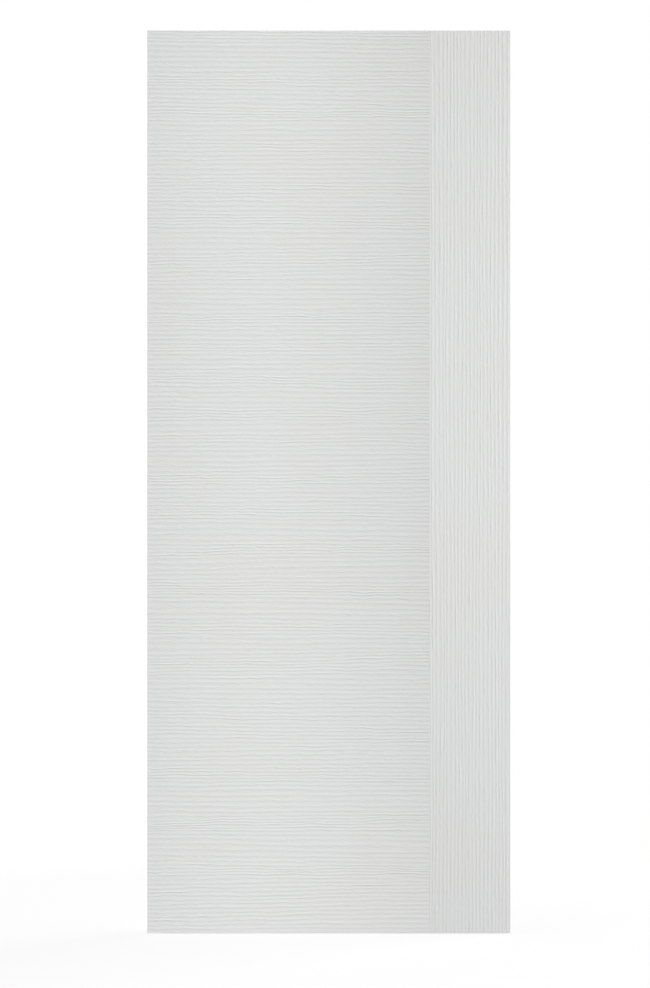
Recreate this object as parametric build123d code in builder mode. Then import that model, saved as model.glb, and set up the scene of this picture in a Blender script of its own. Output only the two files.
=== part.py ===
"""Flush interior door leaf: two pressed, ridged face skins glued to a hollow timber frame.

Millimetres, +Z up. X runs across the leaf from the hinge edge to the lock edge, and the
front face looks along -Y. The origin is at the foot of the hinge edge, midway between the faces.
"""

import math
import os

from build123d import *

# Whole leaf
leaf_width = 820.0
leaf_height = 2040.0
leaf_thickness = 35.0

# Pressed face skins, measured over the smooth land that stands proud of the ridges
skin_thickness = 3.2
strip_width = 182.0  # upright grain beside the lock edge, land included
land_width = 5.0  # smooth line between the level grain and the upright grain
land_bevel = 1.2  # run of the slope from the land down to the first valley
crest_drop = 0.1  # ridge crests below the land
ridge_depth = 0.6  # valleys below the crests
level_pitch = 9.4  # ridge to ridge in the level grain
upright_pitch = 8.4  # ridge to ridge in the upright grain
valley_stray = 0.2  # how far a valley leaves even spacing, as a share of the pitch
stray_turn = 2.4  # radians of stray from one valley to the next

# Timber frame between the skins
stile_width = 34.0
rail_height = 45.0

# Lock block behind the upright grain, for the lock's mortice
block_width = 110.0
block_height = 400.0
block_centre_height = 1000.0

# Paper honeycomb, stretched to fill what the frame leaves
cell_size = 90.0
cell_wall = 0.8
row_share = 0.87  # honeycomb row height as a share of the cell's width

# Places that follow from the sizes
face_y = -leaf_thickness / 2
glue_y = face_y + skin_thickness
crest_y = face_y + crest_drop
valley_y = crest_y + ridge_depth
frame_depth = leaf_thickness - 2 * skin_thickness
frame_back = Plane.XZ.offset(-frame_depth / 2)  # looks towards the front skin
seam_x = leaf_width - strip_width
cavity_width = leaf_width - 2 * stile_width
cavity_top = leaf_height - rail_height
block_bottom = block_centre_height - block_height / 2
block_top = block_centre_height + block_height / 2
block_left = leaf_width - stile_width - block_width


def valley_places(start: float, end: float, pitch: float) -> list[float]:
    """Valley lines of a field of ridges, a little unevenly spaced as in brushed timber."""
    count = max(2, round((end - start) / pitch))
    step = (end - start) / count
    strays = [valley_stray * math.sin(stray_turn * i) for i in range(1, count)]
    return [start, *[start + step * (i + s) for i, s in enumerate(strays, 1)], end]


def level_point(along: float, y: float) -> tuple[float, float]:
    """A point of the level grain's section, which lies in the YZ plane."""
    return (y, along)


def upright_point(along: float, y: float) -> tuple[float, float]:
    """A point of the upright grain's section, which lies in the XY plane."""
    return (along, y)


def ridge_line(places: list[float], point) -> None:
    """Draws one rounded ridge from each valley to the next."""
    ridges = []
    for low, high in zip(places, places[1:]):
        ends = point(low, valley_y), point(high, valley_y)
        crest = point((low + high) / 2, crest_y)
        ridges.append(ThreePointArc(ends[0], crest, ends[1], mode=Mode.PRIVATE))
    add(ridges)


# Front skin: level grain up to the seam, then the land and the upright grain
with BuildPart() as front_skin:
    with BuildSketch(Plane.YZ) as level_section:
        with BuildLine():
            ridge_line(valley_places(0, leaf_height, level_pitch), level_point)
            Polyline(
                level_point(leaf_height, valley_y),
                level_point(leaf_height, glue_y),
                level_point(0, glue_y),
                level_point(0, valley_y),
            )
        make_face()
    extrude(amount=seam_x)
    with BuildSketch(Plane.XY) as upright_section:
        with BuildLine():
            first_valley = seam_x + land_width + land_bevel
            ridge_line(valley_places(first_valley, leaf_width, upright_pitch), upright_point)
            Polyline(
                upright_point(leaf_width, valley_y),
                upright_point(leaf_width, glue_y),
                upright_point(seam_x, glue_y),
                upright_point(seam_x, face_y),
                upright_point(seam_x + land_width, face_y),
                upright_point(first_valley, valley_y),
            )
        make_face()
    extrude(amount=leaf_height)

# Back skin: the same pressing turned upside down, so that its upright grain meets the lock edge too
with BuildPart() as back_skin:
    add(front_skin.part.rotate(Axis((0, 0, leaf_height / 2), (1, 0, 0)), 180))


def build_member(left: float, bottom: float, width: float, height: float) -> BuildPart:
    """One squared length of timber between the skins."""
    with BuildPart() as member:
        with BuildSketch(frame_back):
            with Locations((left, bottom)):
                Rectangle(width, height, align=(Align.MIN, Align.MIN))
        extrude(amount=frame_depth)
    return member


hinge_stile = build_member(0, 0, stile_width, leaf_height)
lock_stile = build_member(leaf_width - stile_width, 0, stile_width, leaf_height)
bottom_rail = build_member(stile_width, 0, cavity_width, rail_height)
top_rail = build_member(stile_width, cavity_top, cavity_width, rail_height)
lock_block = build_member(block_left, block_bottom, block_width, block_height)


def build_core(left: float, bottom: float, width: float, height: float) -> BuildPart:
    """Honeycomb of stretched six-sided cells, cut off by the frame at its borders."""
    columns = max(2, round(width / cell_size))
    rows = max(2, round(height / (cell_size * row_share)))
    across = width / columns
    up = height / rows
    slope = (up / 3) / (across / 2)
    half_width = (across - cell_wall) / 2
    peak = 2 * up / 3 - cell_wall / 2 * math.hypot(1, slope)
    shoulder = peak - slope * half_width
    cell = [
        (0, peak),
        (-half_width, shoulder),
        (-half_width, -shoulder),
        (0, -peak),
        (half_width, -shoulder),
        (half_width, shoulder),
    ]
    centres = [
        (left + across * (column + 0.5 * (row % 2 == 0)), bottom + up * row)
        for row in range(rows + 1)
        for column in range(columns + row % 2)
    ]
    with BuildPart() as core:
        with BuildSketch(frame_back):
            with Locations((left, bottom)):
                Rectangle(width, height, align=(Align.MIN, Align.MIN))
            with Locations(*centres):
                Polygon(*cell, mode=Mode.SUBTRACT)
        extrude(amount=frame_depth)
    return core


lower_core = build_core(stile_width, rail_height, cavity_width, block_bottom - rail_height)
middle_core = build_core(stile_width, block_bottom, block_left - stile_width, block_height)
upper_core = build_core(stile_width, block_top, cavity_width, cavity_top - block_top)

pieces = {
    "front_skin": front_skin,
    "back_skin": back_skin,
    "hinge_stile": hinge_stile,
    "lock_stile": lock_stile,
    "top_rail": top_rail,
    "bottom_rail": bottom_rail,
    "lock_block": lock_block,
    "lower_core": lower_core,
    "middle_core": middle_core,
    "upper_core": upper_core,
}

os.makedirs("parts", exist_ok=True)
for name, piece in pieces.items():
    piece.part.label = name
    export_step(piece.part, f"parts/{name}.step")
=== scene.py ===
"""Looks of a hollow interior door leaf: pressed, ridged skins, bare timber edges and a paper core.

Metres, +Z up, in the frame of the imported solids. X runs from the hinge edge to the lock edge, the front
looks along -Y, and the leaf stands on Z = 0.
"""

import logging
import math
from dataclasses import dataclass, field
from enum import Enum

import bpy
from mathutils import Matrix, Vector


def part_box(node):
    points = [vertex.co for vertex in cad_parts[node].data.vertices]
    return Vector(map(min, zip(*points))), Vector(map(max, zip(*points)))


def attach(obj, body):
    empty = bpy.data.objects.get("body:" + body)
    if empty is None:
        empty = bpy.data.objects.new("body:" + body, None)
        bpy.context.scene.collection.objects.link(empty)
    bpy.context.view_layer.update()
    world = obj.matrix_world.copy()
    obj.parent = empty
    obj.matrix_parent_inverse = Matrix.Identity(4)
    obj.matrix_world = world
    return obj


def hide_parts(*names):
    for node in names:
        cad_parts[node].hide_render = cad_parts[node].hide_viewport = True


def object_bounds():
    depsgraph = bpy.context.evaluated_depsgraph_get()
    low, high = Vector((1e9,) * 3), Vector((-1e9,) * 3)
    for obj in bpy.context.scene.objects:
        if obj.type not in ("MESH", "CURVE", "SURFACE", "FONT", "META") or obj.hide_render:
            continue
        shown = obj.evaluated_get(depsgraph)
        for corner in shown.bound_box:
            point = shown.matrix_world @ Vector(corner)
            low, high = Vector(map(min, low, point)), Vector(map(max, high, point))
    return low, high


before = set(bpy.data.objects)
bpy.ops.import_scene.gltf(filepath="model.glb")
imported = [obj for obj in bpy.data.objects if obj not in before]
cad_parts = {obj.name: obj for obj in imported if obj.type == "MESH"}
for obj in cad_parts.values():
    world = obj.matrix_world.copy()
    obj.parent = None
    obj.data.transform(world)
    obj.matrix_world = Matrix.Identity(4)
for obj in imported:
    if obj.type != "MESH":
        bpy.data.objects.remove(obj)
cad_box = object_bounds()
log = logging.getLogger("door_leaf")

Socket = bpy.types.NodeSocket
Pair = tuple[float, float]  # a range, or a length and a width
Point = tuple[float, float, float]
Colour = tuple[float, float, float, float]  # red, green, blue and alpha

X, Y, Z = range(3)
MM = 0.001
SLACK = 0.01 * MM  # how far a point may lie from a place and still count as there
CUT_SLACK = 0.001 * MM  # the same for a point on a cut
NOISE_SPAN = (0.3, 0.7)  # where nearly all values of a noise lie
UNIT_SPAN = (0.0, 1.0)
WHITE = (1.0, 1.0, 1.0, 1.0)
VALLEY_WEIGHTS = "valley"
BODY = "root"


class Run(Enum):
    """Which way the ridges of a field run, as (axis along them, axis across them)."""

    LEVEL = (X, Z)
    UPRIGHT = (Z, X)

    @property
    def along(self) -> int:
        """The axis along the ridges."""
        return self.value[0]

    @property
    def across(self) -> int:
        """The axis across the ridges."""
        return self.value[1]


class Detail(Enum):
    """How many finer copies are added to a noise."""

    SMOOTH = 1.0
    SOFT = 2.0
    GRAINY = 3.0
    FIBROUS = 4.0


class MixKind(Enum):
    """What a Mix node mixes, as the numbers of its two inputs and of its result."""

    FLOAT = (2, 3, 0)
    VECTOR = (4, 5, 1)
    RGBA = (6, 7, 2)


def deselect_all() -> None:
    """Leaves edit mode and deselects every object."""
    if bpy.context.mode != "OBJECT":
        bpy.ops.object.mode_set(mode="OBJECT")
    bpy.ops.object.select_all(action="DESELECT")


def make_active(piece: bpy.types.Object) -> None:
    """Selects one object alone and makes it the active one.

    Args:
        piece: The object that the next operators act on.
    """
    deselect_all()
    piece.select_set(True)
    bpy.context.view_layer.objects.active = piece


def select_open_edges(piece: bpy.types.Object, place: dict[int, float], slack: float = SLACK) -> None:
    """Goes into edit mode with only those open edges selected that lie at a given place.

    Args:
        piece: The mesh object, which becomes the active one.
        place: The axes that the place fixes and their values; an edge counts with both ends there.
        slack: How far a vertex may lie from the place.
    """
    make_active(piece)
    mesh = piece.data
    bpy.ops.object.mode_set(mode="EDIT")
    bpy.ops.mesh.select_mode(type="EDGE")
    bpy.ops.mesh.select_all(action="DESELECT")
    bpy.ops.mesh.select_non_manifold(
        use_wire=False, use_boundary=True, use_multi_face=False, use_non_contiguous=False, use_verts=False
    )
    bpy.ops.object.mode_set(mode="OBJECT")
    at_place = [all(abs(v.co[axis] - at) < slack for axis, at in place.items()) for v in mesh.vertices]
    for edge in mesh.edges:
        first, second = edge.vertices
        edge.select = edge.select and at_place[first] and at_place[second]
    bpy.ops.object.mode_set(mode="EDIT")


def extrude_edges_to(axes_at: dict[int, float]) -> None:
    """Extrudes the selected edges and flattens the new ones onto the given places.

    Args:
        axes_at: Axis to the coordinate that the new edges get on it.
    """
    keep = [0.0 if axis in axes_at else 1.0 for axis in (X, Y, Z)]
    centre = [axes_at.get(axis, 0.0) for axis in (X, Y, Z)]
    bpy.ops.mesh.extrude_edges_move()
    bpy.ops.transform.resize(value=keep, center_override=centre)


def apply_modifiers(piece: bpy.types.Object) -> None:
    """Applies every modifier of a piece, in order.

    Args:
        piece: The mesh object.
    """
    make_active(piece)
    for modifier in list(piece.modifiers):
        bpy.ops.object.modifier_apply(modifier=modifier.name)


def coat_node(name: str, material: bpy.types.Material) -> bpy.types.Object:
    """Gives a carried solid a finish.

    Args:
        name: The solid's node.
        material: Its new material.

    Returns:
        The solid's object.
    """
    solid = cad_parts[name]
    solid.data.materials.clear()
    solid.data.materials.append(material)
    return solid


@dataclass(frozen=True)
class Drift:
    """One scale of unevenness in a field of ridges: noise that is long along them and short across them.

    Attributes:
        length: Size of the noise along the ridges.
        width: Size of the noise across them.
        reach: How far the noise moves a point between its lowest and highest value.
        middle: The noise value that moves nothing.
    """

    length: float
    width: float
    reach: float
    middle: float = 0.5

    def add_to(
        self, piece: bpy.types.Object, run: Run, axis: int, weights: str, far: float
    ) -> bpy.types.Object:
        """Adds this drift to a piece as a displacement along one axis.

        Args:
            piece: The mesh object.
            run: Which way the ridges run.
            axis: The axis that points move along.
            weights: Name of the vertex group that scales the movement, or nothing for all points alike.
            far: How far off the noise is sampled, so that no two drifts are alike.

        Returns:
            The empty that places the noise, to be removed once the displacement is applied.
        """
        stretch = [1.0, 1.0, 1.0]
        stretch[run.along] = self.length
        stretch[run.across] = self.width
        deselect_all()
        bpy.ops.object.empty_add(location=(far * self.length, far, far * self.width))
        place = bpy.context.object
        place.scale = stretch
        bpy.context.view_layer.update()
        name = f"drift_{far:g}"
        noise = bpy.data.textures.new(name, "CLOUDS")
        noise.noise_scale = 1.0
        noise.noise_depth = 0
        move = piece.modifiers.new(name, "DISPLACE")
        move.texture = noise
        move.texture_coords = "OBJECT"
        move.texture_coords_object = place
        move.direction = "XYZ"[axis]
        move.strength = self.reach
        move.mid_level = self.middle
        move.vertex_group = weights
        return place


@dataclass
class RidgeField:
    """One field of the pressed face: rounded ridges side by side, wavering and of uneven depth.

    Attributes:
        name: Name of the field while it is made.
        run: Which way the ridges run.
        low: Lowest x and z of the field, by axis.
        high: Highest x and z of the field, by axis.
        crest_y: Height of the ridge crests.
        pitch: Mean distance from ridge to ridge.
        step: Spacing of points along a ridge.
        depth: How the valleys' depth varies.
        drifts: How the ridges waver.
        first_far: Where the first drift's noise is sampled.
        section: Places of points across one ridge, as shares of the pitch, from valley to valley.
        flatness: How flat a ridge is on top and how steep at its valleys; 2 is an even curve.
        margin: Ridges made outside the field and trimmed off.
    """

    name: str
    run: Run
    low: dict[int, float]
    high: dict[int, float]
    crest_y: float
    pitch: float
    step: float
    depth: Drift
    drifts: list[Drift]
    first_far: float
    section: tuple[float, ...] = (0.0, 0.2, 0.5, 0.8, 1.0)
    flatness: float = 2.5
    margin: int = 3

    @property
    def size(self) -> dict[int, float]:
        """Extent of the field on x and z, by axis."""
        return {axis: self.high[axis] - self.low[axis] for axis in (X, Z)}

    def build(self) -> bpy.types.Object:
        """Makes the field as an open sheet, trimmed to its size.

        Returns:
            The sheet's object.
        """
        sheet = self.lay_ridge()
        self.repeat_ridge(sheet)
        places = []
        for i, drift in enumerate(self.drifts):
            places.append(drift.add_to(sheet, self.run, self.run.across, "", self.first_far + i))
        far = self.first_far + len(self.drifts)
        places.append(self.depth.add_to(sheet, self.run, Y, VALLEY_WEIGHTS, far))
        apply_modifiers(sheet)
        for place in places:
            bpy.data.objects.remove(place)
        self.trim(sheet)
        return sheet

    def lay_ridge(self) -> bpy.types.Object:
        """Makes one flat ridge beside the field's low side, with its points weighted by their depth.

        Returns:
            The ridge's object.
        """
        along, across = self.run.value
        counts = {along: math.ceil(self.size[along] / self.step), across: len(self.section) - 1}
        extent = {along: self.size[along] + 2 * self.step, across: self.pitch}
        corner = {along: self.low[along] - self.step, across: self.low[across] - self.margin * self.pitch}
        deselect_all()
        bpy.ops.mesh.primitive_grid_add(
            x_subdivisions=counts[X], y_subdivisions=counts[Z], size=1.0, rotation=(math.pi / 2, 0, 0)
        )
        ridge = bpy.context.object
        ridge.name = self.name
        ridge.scale = (extent[X], extent[Z], 1.0)
        ridge.location = (corner[X] + extent[X] / 2, self.crest_y, corner[Z] + extent[Z] / 2)
        bpy.ops.object.transform_apply()
        valley = ridge.vertex_groups.new(name=VALLEY_WEIGHTS)
        for vertex in ridge.data.vertices:
            row = round((vertex.co[across] - corner[across]) / self.pitch * counts[across])
            share = self.section[row]
            vertex.co[across] = corner[across] + share * self.pitch
            valley.add([vertex.index], abs(2 * share - 1) ** self.flatness, "REPLACE")
        return ridge

    def repeat_ridge(self, ridge: bpy.types.Object) -> None:
        """Repeats the ridge over the whole field.

        Args:
            ridge: The one ridge that was laid.
        """
        across = self.run.across
        offset = [0.0, 0.0, 0.0]
        offset[across] = self.pitch
        rows = ridge.modifiers.new("rows", "ARRAY")
        rows.count = math.ceil(self.size[across] / self.pitch) + 2 * self.margin
        rows.use_relative_offset = False
        rows.use_constant_offset = True
        rows.constant_offset_displace = offset
        rows.use_merge_vertices = True
        rows.merge_threshold = SLACK

    def trim(self, sheet: bpy.types.Object) -> None:
        """Cuts the sheet off at the field's four sides.

        Args:
            sheet: The wavering sheet, larger than the field all round.
        """
        make_active(sheet)
        bpy.ops.object.mode_set(mode="EDIT")
        for axis in (X, Z):
            for at, side in ((self.low[axis], -1.0), (self.high[axis], 1.0)):
                place = Vector((0, 0, 0))
                outward = Vector((0, 0, 0))
                place[axis] = at
                outward[axis] = side
                bpy.ops.mesh.select_all(action="SELECT")
                bpy.ops.mesh.bisect(plane_co=place, plane_no=outward, clear_outer=True, threshold=CUT_SLACK)
        bpy.ops.object.mode_set(mode="OBJECT")


class NodeBench:
    """The node tree of a material or world, with short calls that place and join nodes."""

    def __init__(self, owner: bpy.types.Material | bpy.types.World) -> None:
        """Takes up a material or world and clears its nodes.

        Args:
            owner: The material or world.
        """
        owner.use_nodes = True
        self.owner = owner
        self.tree = owner.node_tree
        self.tree.nodes.clear()

    def node(self, kind: str, inputs: dict | None = None, **options: object) -> bpy.types.Node:
        """Adds a node.

        Args:
            kind: The node's type, without its leading ShaderNode.
            inputs: Input name or number to a value, or to the socket that feeds it.
            options: The node's own settings.

        Returns:
            The new node.
        """
        made = self.tree.nodes.new(f"ShaderNode{kind}")
        for key, value in options.items():
            setattr(made, key, value)
        for key, value in (inputs or {}).items():
            if isinstance(value, Socket):
                self.tree.links.new(value, made.inputs[key])
            else:
                made.inputs[key].default_value = value
        return made

    def place(self) -> Socket:
        """Returns the Object coordinates."""
        return self.node("TexCoord").outputs["Object"]

    def axes(self, vector: Socket) -> list[Socket]:
        """Takes a vector apart and returns its three numbers."""
        return list(self.node("SeparateXYZ", {0: vector}).outputs)

    def math(self, operation: str, *values: Socket | float) -> Socket:
        """Adds a Math node on numbers or sockets and returns its result."""
        return self.node("Math", dict(enumerate(values)), operation=operation).outputs[0]

    def noise(self, vector: Socket, size: float = 1.0, detail: Detail = Detail.SOFT) -> Socket:
        """Adds noise of a given size on a vector and returns its value."""
        inputs = {"Vector": vector, "Scale": 1 / size, "Detail": detail.value}
        return self.node("TexNoise", inputs).outputs["Fac"]

    def stretched(self, vector: Socket, along: int, sizes: Pair) -> Socket:
        """Measures a vector by the length of a pattern along one axis and by its width on the others.

        Args:
            vector: The coordinates.
            along: The axis that the pattern is drawn out along.
            sizes: Length and width of the pattern.

        Returns:
            The measured vector.
        """
        length, width = sizes
        scale = [1 / width] * 3
        scale[along] = 1 / length
        return self.node("Mapping", {"Vector": vector, "Scale": scale}).outputs[0]

    def streaks(self, vector: Socket, along: int, sizes: Pair, detail: Detail = Detail.GRAINY) -> Socket:
        """Adds noise that is drawn out along one axis.

        Args:
            vector: The coordinates.
            along: The axis that the noise is drawn out along.
            sizes: Length and width of the noise.
            detail: How many finer copies of the noise are added to it.

        Returns:
            The noise's value.
        """
        return self.noise(self.stretched(vector, along, sizes), detail=detail)

    def ranged(self, value: Socket, old: Pair, new: Pair = UNIT_SPAN) -> Socket:
        """Maps a value from one range to another, held within it, and returns the result."""
        ends = {"From Min": old[0], "From Max": old[1], "To Min": new[0], "To Max": new[1]}
        return self.node("MapRange", {"Value": value, **ends}).outputs[0]

    def mix(
        self,
        share: Socket | float,
        first: Socket | Colour,
        second: Socket | Colour,
        kind: MixKind = MixKind.RGBA,
        how: str = "MIX",
    ) -> Socket:
        """Mixes two colours, numbers or vectors.

        Args:
            share: How much of the second one is in the mix.
            first: The first one.
            second: The second one.
            kind: What they are.
            how: Blender's name for the way of mixing.

        Returns:
            The mix.
        """
        first_input, second_input, result = kind.value
        inputs = {0: share, first_input: first, second_input: second}
        return self.node("Mix", inputs, data_type=kind.name, blend_type=how).outputs[result]

    def toned(self, colour: Socket, tone: Socket) -> Socket:
        """Multiplies a colour by a tone and returns the result."""
        grey = self.node("CombineColor", {0: tone, 1: tone, 2: tone}).outputs[0]
        return self.mix(1.0, colour, grey, how="MULTIPLY")

    def bumps(self, *layers: tuple[Socket, float]) -> Socket:
        """Stacks bumps on one another.

        Args:
            layers: Each bump's value and the height that a value of 1 stands for, from the lowest bump up.

        Returns:
            The normal of the bumped surface.
        """
        below = {}
        for value, height in layers:
            bump = self.node("Bump", {"Height": value, "Distance": height, **below})
            below = {"Normal": bump.outputs[0]}
        return below["Normal"]

    def seen_straight(self) -> Socket:
        """Tells what is looked at from what only gives light.

        Returns:
            1 where a camera, mirror or glass ray arrives and 0 elsewhere.
        """
        path = self.node("LightPath").outputs
        seen = self.math("MAXIMUM", path["Is Camera Ray"], path["Is Glossy Ray"])
        return self.math("MAXIMUM", seen, path["Is Transmission Ray"])

    def finish(self, inputs: dict) -> bpy.types.Material:
        """Adds the shader and the output.

        Args:
            inputs: Values or sockets for the shader.

        Returns:
            The finished material.
        """
        shader = self.node("BsdfPrincipled", inputs)
        self.node("OutputMaterial", {"Surface": shader.outputs[0]})
        return self.owner


@dataclass(frozen=True)
class PrimerPaint:
    """Factory primer on the pressed face: pale grey-white, satin, with brushed fibres along each grain.

    Attributes:
        seam_x: Where the upright grain takes over from the level one.
        top_z: Height of the leaf.
        crest_y: Distance of the crests from the leaf's middle.
        valley_y: Distance of valleys of common depth from the leaf's middle.
        colour: The coat on the crests.
        valley_shade_colour: The coat in the valleys, a little darker as painted shade.
        valley_shade_curve: Power by which the painted shade deepens from the crests into the valleys.
        warm_colour: The tint of its faint clouding.
        cloud: Size of the clouding.
        cloud_span: Noise values at which the tint starts and is full.
        fibre: Length and width of the fibres.
        fibre_height: How high they stand.
        fibre_tone: Tone of the coat between the fibres and on them.
        dash: Length and width of the short dents along the grain.
        dash_height: How deep they are.
        grit: Size of the coat's own grain.
        grit_height: How high it stands.
        roughness: The coat on the fibres and between them.
        palest: How far along the grain the painted highlight is brightest, as a share of its length.
        highlight_fall: How much the painted highlight falls off towards the ends of the grain, at one whole
            length from the palest.
        highlight_fall_curve: Power by which it falls off.
        thin: How much the tone loses as painted shade along the top of the level field and beside the seam
            in the upright field.
        edge_shade_reach: How far across the grain that painted shade reaches.
    """

    seam_x: float
    top_z: float
    crest_y: float
    valley_y: float
    colour: Colour = (0.7075, 0.7235, 0.7155, 1.0)
    valley_shade_colour: Colour = (0.705, 0.721, 0.713, 1.0)
    valley_shade_curve: float = 1.5
    warm_colour: Colour = (0.7135, 0.7215, 0.7035, 1.0)
    cloud: float = 310 * MM
    cloud_span: Pair = (0.35, 0.65)
    fibre: Pair = (28 * MM, 0.7 * MM)
    fibre_height: float = 0.035 * MM
    fibre_tone: Pair = (0.98, 1.0)
    dash: Pair = (12 * MM, 2.2 * MM)
    dash_height: float = 0.78 * MM
    grit: float = 1.6 * MM
    grit_height: float = 0.012 * MM
    roughness: Pair = (0.48, 0.56)
    palest: float = 0.4
    highlight_fall: float = 0.196
    highlight_fall_curve: float = 1.5
    thin: float = 0.021
    edge_shade_reach: float = 190 * MM

    def material(self) -> bpy.types.Material:
        """Makes the paint's material.

        Returns:
            The material.
        """
        bench = NodeBench(bpy.data.materials.new("primer_paint"))
        place = bench.place()
        axes = bench.axes(place)
        is_upright = bench.math("GREATER_THAN", axes[X], self.seam_x)
        fibres = self.along_grain(bench, place, is_upright, self.fibre)
        dashes = self.along_grain(bench, place, is_upright, self.dash)
        grit = bench.noise(place, self.grit)
        clouds = bench.ranged(bench.noise(place, self.cloud), self.cloud_span)
        # depth mask for the painted valley shade: 0 on the crests, 1 in valleys of common depth
        from_middle = bench.math("ABSOLUTE", axes[Y])
        depth = bench.ranged(from_middle, (self.valley_y, self.crest_y), (1.0, 0.0))
        coat = bench.mix(clouds, self.colour, self.warm_colour)
        # painted shade: the coat darkens a little towards the valleys
        coat = bench.mix(bench.math("POWER", depth, self.valley_shade_curve), coat, self.valley_shade_colour)
        tone = bench.ranged(fibres, NOISE_SPAN, self.fibre_tone)
        # the tone carries a painted highlight along each grain and painted shade along the top and beside
        # the seam
        coat = bench.toned(coat, bench.math("SUBTRACT", tone, self.painted_light_loss(bench, axes, is_upright)))
        roughness = bench.ranged(fibres, NOISE_SPAN, self.roughness[::-1])
        layers = ((dashes, self.dash_height), (fibres, self.fibre_height), (grit, self.grit_height))
        return bench.finish({"Base Color": coat, "Roughness": roughness, "Normal": bench.bumps(*layers)})

    def painted_light_loss(self, bench: NodeBench, axes: list[Socket], is_upright: Socket) -> Socket:
        """Works out the painted highlight and shade: how much the tone falls along and across the grain of
        each field.

        Args:
            bench: The paint's nodes.
            axes: The three object coordinates.
            is_upright: 1 in the upright field and 0 in the level one.

        Returns:
            What the tone loses to painted highlight and shade.
        """
        from_top = bench.math("SUBTRACT", self.top_z, axes[Z])
        from_seam = bench.math("SUBTRACT", axes[X], self.seam_x)
        level_share = bench.math("DIVIDE", axes[X], self.seam_x)
        upright_share = bench.math("DIVIDE", from_top, self.top_z)
        share = bench.mix(is_upright, level_share, upright_share, MixKind.FLOAT)
        # painted highlight: brightest at the palest share along the grain, falling off towards both ends
        off_palest = bench.math("ABSOLUTE", bench.math("SUBTRACT", share, self.palest))
        across = bench.mix(is_upright, from_top, from_seam, MixKind.FLOAT)
        # painted shade along the top of the level field and beside the seam in the upright field
        thin = bench.ranged(across, (0.0, self.edge_shade_reach), (self.thin, 0.0))
        return bench.math("MULTIPLY_ADD", bench.math("POWER", off_palest, self.highlight_fall_curve), self.highlight_fall, thin)

    def along_grain(self, bench: NodeBench, place: Socket, is_upright: Socket, sizes: Pair) -> Socket:
        """Adds noise that is drawn out along the grain of each field.

        Args:
            bench: The paint's nodes.
            place: Object coordinates.
            is_upright: 1 in the upright field and 0 in the level one.
            sizes: Length and width of the noise.

        Returns:
            The noise's value.
        """
        fields = [bench.stretched(place, run.along, sizes) for run in (Run.LEVEL, Run.UPRIGHT)]
        return bench.noise(bench.mix(is_upright, *fields, MixKind.VECTOR), detail=Detail.GRAINY)


@dataclass(frozen=True)
class RawFibreboard:
    """Cut edge of the pressed skin: brown, matt, in thin layers along the face.

    Attributes:
        colour: The dark of the board.
        pale_colour: Its pale fibres.
        pale_span: Pattern values at which the pale fibres start and are full.
        layer: Length and thickness of its layers.
        layer_share: How much of the pattern the layers make.
        clump: Size of the clumps of fibre, which make the rest.
        relief: How high the fibres stand.
        roughness: The bare board.
    """

    colour: Colour = (0.205, 0.115, 0.062, 1.0)
    pale_colour: Colour = (0.315, 0.195, 0.115, 1.0)
    pale_span: Pair = (0.36, 0.64)
    layer: Pair = (9 * MM, 0.35 * MM)
    layer_share: float = 0.6
    clump: float = 0.9 * MM
    relief: float = 0.1 * MM
    roughness: float = 0.85

    def material(self) -> bpy.types.Material:
        """Makes the board's material.

        Returns:
            The material.
        """
        bench = NodeBench(bpy.data.materials.new("raw_fibreboard"))
        place = bench.place()
        length, thickness = self.layer
        layers = bench.streaks(place, Y, (thickness, length))
        clumps = bench.math("MULTIPLY", bench.noise(place, self.clump, Detail.FIBROUS), 1 - self.layer_share)
        fibres = bench.math("MULTIPLY_ADD", layers, self.layer_share, clumps)
        colour = bench.mix(bench.ranged(fibres, self.pale_span), self.colour, self.pale_colour)
        normal = bench.bumps((fibres, self.relief))
        return bench.finish({"Base Color": colour, "Roughness": self.roughness, "Normal": normal})


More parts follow.
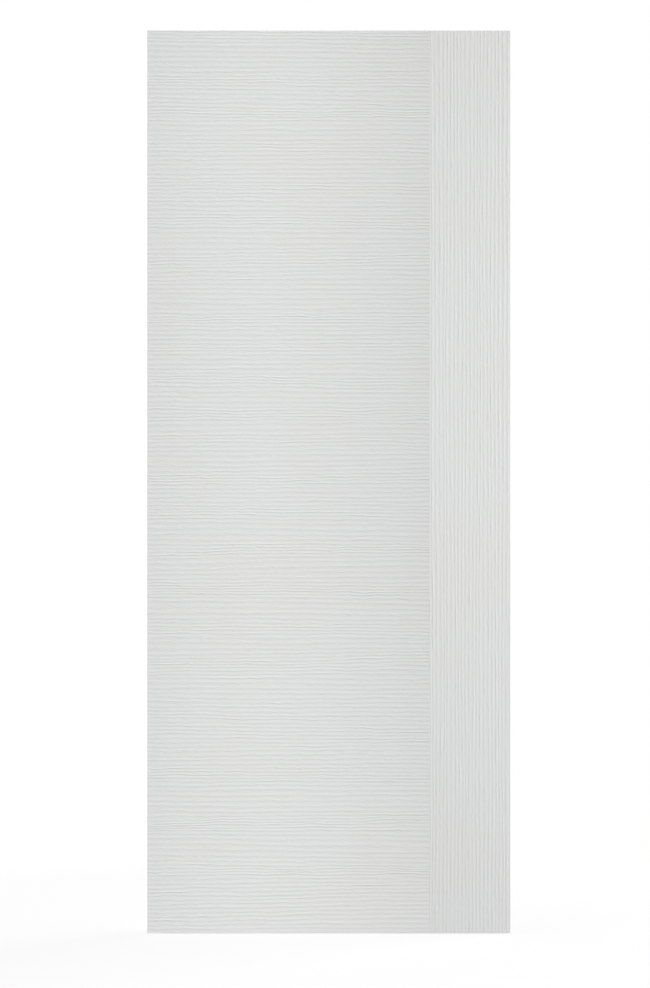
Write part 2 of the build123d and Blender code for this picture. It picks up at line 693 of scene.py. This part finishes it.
@dataclass(frozen=True)
class BarePine:
    """Planed, unpainted pine in finger-jointed blocks, with growth rings about a heart beside the timber.

    Attributes:
        name: Name of the material.
        along: Axis that the grain runs along.
        heart: Where the rings' centre passes, on the two other axes in order.
        block: Length of a finger-jointed block.
        finger: Length and width of a finger.
        glue_line: Width of the glue line round the fingers.
        glue_share: How strongly it shows.
        heart_shift: How far the heart can move from block to block.
        ring: Mean distance from ring to ring.
        ring_curve: Power by which a ring darkens towards its end.
        ring_shares: How strongly a ring shows between the fibres and on them.
        ring_relief: How high a ring's dark end stands, as a share of the fibres' relief.
        sway: Length and width of the rings' wandering.
        sway_reach: How far they wander.
        fibre: Length and width of the fibres.
        fleck: Length and width of the resin flecks.
        fleck_span: Noise values at which a fleck starts and is full.
        fleck_share: How strongly a full fleck shows.
        early: Colour of the pale wood.
        ruddy: Colour of the pale wood in the reddest blocks.
        late: Colour of the ring lines.
        resin: Colour of the flecks and the glue lines.
        shades: Tone of the darkest and the palest block.
        relief: How high the fibres stand.
        roughness: The wood on the fibres and between them.
    """

    name: str
    along: int
    heart: Pair
    block: float = 460 * MM
    finger: Pair = (11 * MM, 4.4 * MM)
    glue_line: float = 0.6 * MM
    glue_share: float = 0.55
    heart_shift: float = 34 * MM
    ring: float = 3.1 * MM
    ring_curve: float = 2.6
    ring_shares: Pair = (0.45, 1.0)
    ring_relief: float = 0.6
    sway: Pair = (420 * MM, 14 * MM)
    sway_reach: float = 9 * MM
    fibre: Pair = (16 * MM, 0.32 * MM)
    fleck: Pair = (9 * MM, 0.55 * MM)
    fleck_span: Pair = (0.66, 0.76)
    fleck_share: float = 0.5
    early: Colour = (0.600, 0.430, 0.245, 1.0)
    ruddy: Colour = (0.575, 0.385, 0.215, 1.0)
    late: Colour = (0.395, 0.222, 0.092, 1.0)
    resin: Colour = (0.210, 0.115, 0.050, 1.0)
    shades: Pair = (0.84, 1.08)
    relief: float = 0.05 * MM
    roughness: Pair = (0.56, 0.72)

    def material(self) -> bpy.types.Material:
        """Makes the timber's material.

        Returns:
            The material.
        """
        bench = NodeBench(bpy.data.materials.new(self.name))
        place = bench.place()
        axes = bench.axes(place)
        run = self.block_run(bench, axes)
        block = bench.math("FLOOR", run)
        draw = bench.node("TexWhiteNoise", {"W": block}, noise_dimensions="1D").outputs["Color"]
        shade, hue, shift = bench.node("SeparateColor", {0: draw}).outputs
        late = bench.math("POWER", self.ring_cycle(bench, place, axes, shift), self.ring_curve)
        fibres = bench.streaks(place, self.along, self.fibre)
        flecks = bench.streaks(place, self.along, self.fleck, Detail.SMOOTH)
        wood = bench.mix(hue, self.early, self.ruddy)
        ring_share = bench.math("MULTIPLY", late, bench.ranged(fibres, NOISE_SPAN, self.ring_shares))
        wood = bench.mix(ring_share, wood, self.late)
        wood = bench.toned(wood, bench.ranged(shade, UNIT_SPAN, self.shades))
        wood = bench.mix(bench.ranged(flecks, self.fleck_span, (0.0, self.fleck_share)), wood, self.resin)
        in_joint = bench.math("LESS_THAN", bench.math("FRACT", run), self.glue_line / self.block)
        wood = bench.mix(bench.math("MULTIPLY", in_joint, self.glue_share), wood, self.resin)
        normal = bench.bumps((bench.math("MULTIPLY_ADD", late, self.ring_relief, fibres), self.relief))
        roughness = bench.ranged(fibres, NOISE_SPAN, self.roughness[::-1])
        return bench.finish({"Base Color": wood, "Roughness": roughness, "Normal": normal})

    def block_run(self, bench: NodeBench, axes: list[Socket]) -> Socket:
        """Counts the finger-jointed blocks along the timber, with a zigzag across the leaf at each joint.

        Args:
            bench: The timber's nodes.
            axes: The three object coordinates.

        Returns:
            The number of blocks so far, in parts of a block.
        """
        length, width = self.finger
        zigzag = bench.math("PINGPONG", axes[Y], width)
        here = bench.math("MULTIPLY_ADD", zigzag, length / width, axes[self.along])
        return bench.math("DIVIDE", here, self.block)

    def ring_cycle(self, bench: NodeBench, place: Socket, axes: list[Socket], shift: Socket) -> Socket:
        """Works out how far a point lies through its growth ring.

        Args:
            bench: The timber's nodes.
            place: Object coordinates.
            axes: The three of them apart.
            shift: How far the block's heart has moved, from 0 to 1.

        Returns:
            0 at the ring's start and 1 at its dark end.
        """
        moved = bench.math("MULTIPLY", shift, self.heart_shift)
        across = [axes[axis] for axis in (X, Y, Z) if axis != self.along]
        squares = []
        for side, middle in zip(across, self.heart):
            off = bench.math("ADD", bench.math("SUBTRACT", side, middle), moved)
            squares.append(bench.math("MULTIPLY", off, off))
        radius = bench.math("SQRT", bench.math("ADD", *squares))
        sway = bench.streaks(place, self.along, self.sway, Detail.SOFT)
        swayed = bench.math("MULTIPLY_ADD", sway, self.sway_reach, radius)
        return bench.math("FRACT", bench.math("DIVIDE", swayed, self.ring))


@dataclass(frozen=True)
class KraftPaper:
    """Brown paper of the honeycomb.

    Attributes:
        colour: The paper.
        dark_colour: Its dark fibres.
        fibre: Length and width of the fibres, which lie along the web.
        fibre_span: Noise values at which the dark fibres end and the paper starts.
        relief: How high they stand.
        roughness: The bare paper.
    """

    colour: Colour = (0.360, 0.235, 0.125, 1.0)
    dark_colour: Colour = (0.265, 0.165, 0.082, 1.0)
    fibre: Pair = (2.2 * MM, 0.5 * MM)
    fibre_span: Pair = (0.35, 0.65)
    relief: float = 0.03 * MM
    roughness: float = 0.9

    def material(self) -> bpy.types.Material:
        """Makes the paper's material.

        Returns:
            The material.
        """
        bench = NodeBench(bpy.data.materials.new("kraft_paper"))
        fibres = bench.streaks(bench.place(), Y, self.fibre, Detail.FIBROUS)
        colour = bench.mix(bench.ranged(fibres, self.fibre_span), self.dark_colour, self.colour)
        normal = bench.bumps((fibres, self.relief))
        return bench.finish({"Base Color": colour, "Roughness": self.roughness, "Normal": normal})


@dataclass
class PressedSkins:
    """The two face skins: level ridges, a straight seam, and upright ridges beside the lock edge.

    Attributes:
        strip_width: Width of the upright field.
        border: Run of the slope from the ridges of either field to the flat line at the seam.
        seam_line: Half the width of that line.
        seam_drop: How far it lies below the crests.
        crest_drop: How far the crests lie inside the leaf's thickness.
        depth: Common depth of the valleys below the crests.
        smooth_angle: Edges that turn by less than this are shaded smooth.
        low: Lowest corner of the front skin.
        high: Highest corner of the front skin.
    """

    strip_width: float = 182 * MM
    border: float = 1.0 * MM
    seam_line: float = 0.2 * MM
    seam_drop: float = 0.25 * MM
    crest_drop: float = 0.1 * MM
    depth: float = 0.6 * MM
    smooth_angle: float = math.radians(40)
    low: Vector = field(default_factory=lambda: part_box("front_skin")[0])
    high: Vector = field(default_factory=lambda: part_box("front_skin")[1])

    @property
    def seam_x(self) -> float:
        """Where the level ridges end."""
        return self.high.x - self.strip_width

    @property
    def crest_y(self) -> float:
        """Height of the ridge crests."""
        return self.low.y + self.crest_drop

    def build(self) -> list[bpy.types.Object]:
        """Makes both skins.

        Returns:
            The front skin and the back skin.
        """
        front = self.build_front()
        back = self.turn_over(front)
        return [front, back]

    def level_field(self) -> RidgeField:
        """Sizes the wide field of level ridges.

        Returns:
            The field, ready to build.
        """
        return RidgeField(
            name="level_field",
            run=Run.LEVEL,
            low={X: self.low.x, Z: self.low.z},
            high={X: self.seam_x - self.border, Z: self.high.z},
            crest_y=self.crest_y,
            pitch=9.4 * MM,
            step=8 * MM,
            depth=Drift(length=110 * MM, width=7 * MM, reach=1.13 * self.depth, middle=-0.5),
            drifts=[
                Drift(length=1.5, width=60 * MM, reach=24 * MM),
                Drift(length=200 * MM, width=30 * MM, reach=4.0 * MM),
                Drift(length=85 * MM, width=20 * MM, reach=3.2 * MM),
                Drift(length=36 * MM, width=14 * MM, reach=2.2 * MM),
                Drift(length=16 * MM, width=10 * MM, reach=1.6 * MM),
            ],
            first_far=11,
        )

    def upright_field(self) -> RidgeField:
        """Sizes the strip of upright ridges.

        Returns:
            The field, ready to build.
        """
        return RidgeField(
            name="upright_field",
            run=Run.UPRIGHT,
            low={X: self.seam_x + self.border, Z: self.low.z},
            high={X: self.high.x, Z: self.high.z},
            crest_y=self.crest_y,
            pitch=8.4 * MM,
            step=12 * MM,
            depth=Drift(length=36 * MM, width=6 * MM, reach=1.87 * self.depth, middle=-0.1),
            drifts=[
                Drift(length=3.0, width=18 * MM, reach=6 * MM, middle=0.88),
                Drift(length=900 * MM, width=34 * MM, reach=6.5 * MM),
                Drift(length=240 * MM, width=17 * MM, reach=3 * MM),
                Drift(length=60 * MM, width=10 * MM, reach=1.8 * MM),
            ],
            first_far=52,
        )

    def build_front(self) -> bpy.types.Object:
        """Makes the front skin as one closed mesh.

        Returns:
            The skin's object.
        """
        level = self.level_field().build()
        upright = self.upright_field().build()
        for ridges, side in ((level, -1), (upright, 1)):
            select_open_edges(ridges, {X: self.seam_x + side * self.border})
            extrude_edges_to({X: self.seam_x + side * self.seam_line, Y: self.crest_y + self.seam_drop})
        make_active(level)
        upright.select_set(True)
        bpy.ops.object.join()
        skin = bpy.context.object
        skin.name = "pressed_front_skin"
        skin.vertex_groups.clear()
        select_open_edges(skin, {X: self.seam_x}, slack=2 * self.seam_line)
        bpy.ops.mesh.bridge_edge_loops()
        select_open_edges(skin, {})
        extrude_edges_to({Y: self.high.y})
        bpy.ops.mesh.edge_face_add()
        bpy.ops.mesh.select_all(action="SELECT")
        bpy.ops.mesh.normals_make_consistent(inside=False)
        bpy.ops.object.mode_set(mode="OBJECT")
        bpy.ops.object.shade_smooth_by_angle(angle=self.smooth_angle)
        return skin

    def turn_over(self, front: bpy.types.Object) -> bpy.types.Object:
        """Makes the back skin: the front one turned upside down onto the other face.

        Args:
            front: The finished front skin.

        Returns:
            The back skin's object.
        """
        make_active(front)
        bpy.ops.object.duplicate()
        back = bpy.context.object
        back.name = "pressed_back_skin"
        back.rotation_euler = (math.pi, 0, 0)
        back.location = (0, 0, self.low.z + self.high.z)
        bpy.ops.object.transform_apply()
        return back

    def dress(self, skins: list[bpy.types.Object]) -> list[bpy.types.Object]:
        """Paints the faces, leaves the cut edges raw, and fixes the skins to the leaf.

        Args:
            skins: The front and the back skin.

        Returns:
            The same skins.
        """
        crest = -self.crest_y
        paint = PrimerPaint(
            seam_x=self.seam_x, top_z=self.high.z, crest_y=crest, valley_y=crest - self.depth
        ).material()
        board = RawFibreboard().material()
        for skin, node in zip(skins, ("front_skin", "back_skin")):
            skin.data.materials.clear()
            skin.data.materials.append(paint)
            skin.data.materials.append(board)
            self.leave_edges_raw(skin)
            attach(skin, BODY)
            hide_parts(node)
        return skins

    def leave_edges_raw(self, skin: bpy.types.Object) -> None:
        """Gives the board's own material to the cut edges and to the glued back.

        Args:
            skin: The skin, with the paint first and the board second among its materials.
        """
        inner_y = -self.high.y
        sides = ((X, self.low.x), (X, self.high.x), (Z, self.low.z), (Z, self.high.z))
        vertices = skin.data.vertices
        for face in skin.data.polygons:
            corners = [vertices[i].co for i in face.vertices]
            on_side = any(all(abs(co[axis] - at) < SLACK for co in corners) for axis, at in sides)
            on_back = all(abs(abs(co.y) - inner_y) < SLACK for co in corners)
            face.material_index = 1 if on_side or on_back else 0


@dataclass
class TimberFrame:
    """The bare timbers between the skins: stiles, rails and lock block.

    Attributes:
        upright: Nodes of the timbers whose grain stands upright.
        level: Nodes of those whose grain lies level.
        heart_off: How far the rings' heart lies outside a timber, as a share of the timber's own width.
    """

    upright: tuple[str, ...] = ("hinge_stile", "lock_stile", "lock_block")
    level: tuple[str, ...] = ("top_rail", "bottom_rail")
    heart_off: float = 0.9

    def dress(self) -> list[bpy.types.Object]:
        """Gives each timber pine whose grain runs along it.

        Returns:
            The timbers' objects.
        """
        timbers = []
        for names, along in ((self.upright, Z), (self.level, X)):
            across = [axis for axis in (X, Y, Z) if axis != along]
            for name in names:
                low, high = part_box(name)
                heart = tuple(low[axis] - self.heart_off * (high[axis] - low[axis]) for axis in across)
                pine = BarePine(name=f"pine_{name}", along=along, heart=heart)
                timbers.append(coat_node(name, pine.material()))
        return timbers


@dataclass
class PaperCore:
    """The paper honeycomb that fills the leaf.

    Attributes:
        nodes: Nodes of its parts.
    """

    nodes: tuple[str, ...] = ("lower_core", "middle_core", "upper_core")

    def dress(self) -> list[bpy.types.Object]:
        """Gives the honeycomb its paper and returns its parts."""
        paper = KraftPaper().material()
        return [coat_node(name, paper) for name in self.nodes]


@dataclass(frozen=True)
class FarLamp:
    """A broad studio lamp, so far off that its light is even all over.

    Attributes:
        name: Name of the lamp.
        place: A point on the way to it.
        power: Watts a square metre.
        aim: The point that it faces.
        spread: Angle that it fills.
    """

    name: str
    place: Point
    power: float
    aim: Point = (0.4, 0.0, 1.0)
    spread: float = math.radians(30)

    def build(self) -> bpy.types.Object:
        """Sets up the lamp, out of the camera's sight.

        Returns:
            The lamp's object.
        """
        deselect_all()
        bpy.ops.object.light_add(type="SUN", location=self.place)
        lamp = bpy.context.object
        lamp.name = self.name
        lamp.rotation_euler = (Vector(self.aim) - Vector(self.place)).to_track_quat("-Z", "Y").to_euler()
        lamp.visible_camera = False
        lamp.data.energy = self.power
        lamp.data.angle = self.spread
        return lamp


@dataclass
class Studio:
    """A white floor, a white surround and soft lamps.

    Attributes:
        floor_size: Length of the floor's sides.
        floor_colour: The floor where the leaf's shadow falls.
        floor_glow: Brightness of the floor as it lights the leaf.
        shadow_share: How much of the leaf's shadow shows on the floor.
        shadow_reach: How far from the leaf's foot it shows.
        shadow_core: Share of that reach within which it shows in full.
        shadow_lift: Brightness added under the shadow, so that the floor beside it stays white.
        surround: Brightness of the surround as it lights the leaf.
        lamps: The lamps.
    """

    floor_size: float = 60.0
    floor_colour: Colour = (0.85, 0.85, 0.85, 1.0)
    floor_glow: float = 1.37
    shadow_share: float = 0.25
    shadow_reach: float = 1.6
    shadow_core: float = 0.5
    shadow_lift: float = 0.545
    surround: float = 0.41
    lamps: tuple[FarLamp, ...] = (
        FarLamp("left_key", place=(-3.6, -1.8, 1.2), power=1.85),
        FarLamp("back_key", place=(4.0, 1.8, 2.2), power=1.5),
    )

    def build(self) -> None:
        """Sets up the floor, the surround and the lamps."""
        self.build_floor()
        self.build_surround()
        for lamp in self.lamps:
            lamp.build()

    def build_floor(self) -> None:
        """Lays a floor that looks white and still takes the leaf's shadow."""
        deselect_all()
        bpy.ops.mesh.primitive_plane_add(size=self.floor_size)
        floor = bpy.context.object
        floor.name = "studio_floor"
        bench = NodeBench(bpy.data.materials.new("studio_floor"))
        plain = bench.node("BsdfDiffuse", {"Color": self.floor_colour}).outputs[0]
        glow = bench.node("Emission", {"Strength": self.floor_glow}).outputs[0]
        away = bench.node("VectorMath", {0: bench.place()}, operation="LENGTH").outputs["Value"]
        fade = (self.shadow_core * self.shadow_reach, self.shadow_reach)
        shaded = bench.ranged(away, fade, (self.shadow_share, 0.0))
        lift = bench.math("MULTIPLY_ADD", shaded, self.shadow_lift, 1.0)
        white = bench.node("Emission", {"Strength": lift}).outputs[0]
        looks = bench.node("MixShader", {0: shaded, 1: white, 2: plain}).outputs[0]
        mixed = bench.node("MixShader", {0: bench.seen_straight(), 1: glow, 2: looks}).outputs[0]
        bench.node("OutputMaterial", {"Surface": mixed})
        floor.data.materials.append(bench.owner)

    def build_surround(self) -> None:
        """Makes a surround that is white to look at and lights the leaf softly."""
        world = bpy.data.worlds.new("studio_surround")
        bpy.context.scene.world = world
        bench = NodeBench(world)
        strength = bench.ranged(bench.seen_straight(), UNIT_SPAN, (self.surround, 1.0))
        light = bench.node("Background", {"Color": WHITE, "Strength": strength}).outputs[0]
        bench.node("OutputWorld", {"Surface": light})


@dataclass(frozen=True)
class PhotoCamera:
    """A long lens square on to the front face, framed as in the photograph.

    Attributes:
        picture: Width and height of the picture in pixels.
        leaf_left: Pixel column of the leaf's left edge.
        leaf_right: Pixel column of its right edge.
        leaf_top: Pixel row of its upper edge.
        leaf_bottom: Pixel row of its lower edge.
        distance: From the lens to the front face.
    """

    picture: tuple[int, int] = (650, 988)
    leaf_left: float = 147.33
    leaf_right: float = 510.18
    leaf_top: float = 30.5
    leaf_bottom: float = 933.49
    distance: float = 5.6

    def build(self) -> bpy.types.Object:
        """Sets up the scene's camera.

        Returns:
            The camera's object.
        """
        low, high = cad_box
        width, height = self.picture
        pixel = (high.z - low.z) / (self.leaf_bottom - self.leaf_top)
        off_x = (self.leaf_left + self.leaf_right - width) / 2 * pixel
        off_z = (self.leaf_top + self.leaf_bottom - height) / 2 * pixel
        centre = (low + high) / 2
        place = (centre.x - off_x, low.y - self.distance, centre.z + off_z)
        deselect_all()
        bpy.ops.object.camera_add(location=place, rotation=(math.pi / 2, 0, 0))
        camera = bpy.context.object
        camera.name = "photo_camera"
        camera.data.lens = camera.data.sensor_width * self.distance / (height * pixel)
        bpy.context.scene.camera = camera
        return camera


def main() -> None:
    """Builds the camera, the leaf's pieces and the studio, and reports each piece."""
    logging.basicConfig(level=logging.INFO, format="%(name)s: %(message)s")
    bpy.context.scene.view_settings.view_transform = "Standard"
    PhotoCamera().build()
    skins = PressedSkins()
    pieces = [*skins.dress(skins.build()), *TimberFrame().dress(), *PaperCore().dress()]
    for piece in pieces:
        log.info("%s: %d faces, %s", piece.name, len(piece.data.polygons), piece.data.materials[0].name)
    Studio().build()


if __name__ == "__main__":
    main()
